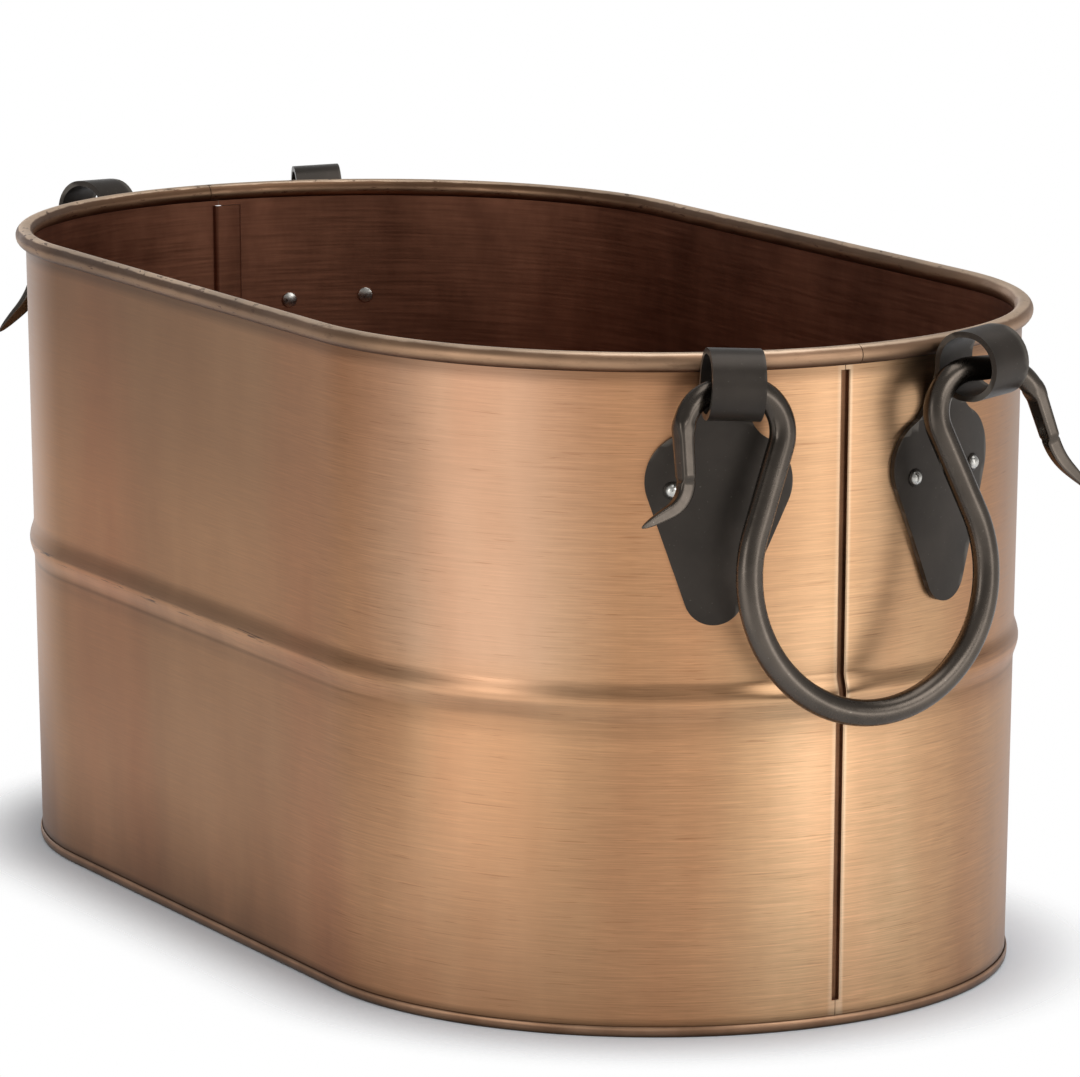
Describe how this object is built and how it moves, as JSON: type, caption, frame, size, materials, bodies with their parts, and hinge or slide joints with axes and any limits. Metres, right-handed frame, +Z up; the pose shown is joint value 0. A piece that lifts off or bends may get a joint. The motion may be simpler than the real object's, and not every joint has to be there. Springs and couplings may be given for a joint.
{
  "type": "log bucket",
  "caption": "Oval copper hearth bucket with a rolled wire rim, swaged wall, recessed base and a forged iron ring handle swinging in riveted ears at each end.",
  "frame": {"origin": "on the floor, at the middle of the base", "axes": "+X along the length to the near end whose handle the picture shows, +Z up, +Y to the back long side"},
  "size_m": [0.6326, 0.3182, 0.2847],
  "materials": {
    "copper": "brushed antique copper plate, lacquered",
    "copper_base": "darkened antique copper plate, lacquered",
    "steel_wire": "drawn wire",
    "iron": "satin bronze-black",
    "forged_iron": "forged, satin bronze-black, rubbed on the edges",
    "rivet_steel": "rubbed bright"
  },
  "bodies": {
    "bucket": {"body_sheet_front": "copper", "body_sheet_back": "copper", "rim_wire": "steel_wire", "base_pan": "copper_base", "ear_near_front": "iron", "ear_near_back": "iron", "ear_far_front": "iron", "ear_far_back": "iron", "rivet_near_front_inner": "rivet_steel", "rivet_near_front_outer": "rivet_steel", "rivet_near_back_inner": "rivet_steel", "rivet_near_back_outer": "rivet_steel", "rivet_far_front_inner": "rivet_steel", "rivet_far_front_outer": "rivet_steel", "rivet_far_back_inner": "rivet_steel", "rivet_far_back_outer": "rivet_steel"},
    "near_ring": {"handle_near": "forged_iron"},
    "far_ring": {"handle_far": "forged_iron"}
  },
  "joints": [
    {"name": "near_swing", "type": "hinge", "parent": "bucket", "child": "near_ring", "pos_m": [0.29401, 0, 0.2677], "axis": [0, -1, 0], "range_deg": [0, 190]},
    {"name": "far_swing", "type": "hinge", "parent": "bucket", "child": "far_ring", "pos_m": [-0.29401, 0, 0.2677], "axis": [0, 1, 0], "range_deg": [0, 190]}
  ]
}
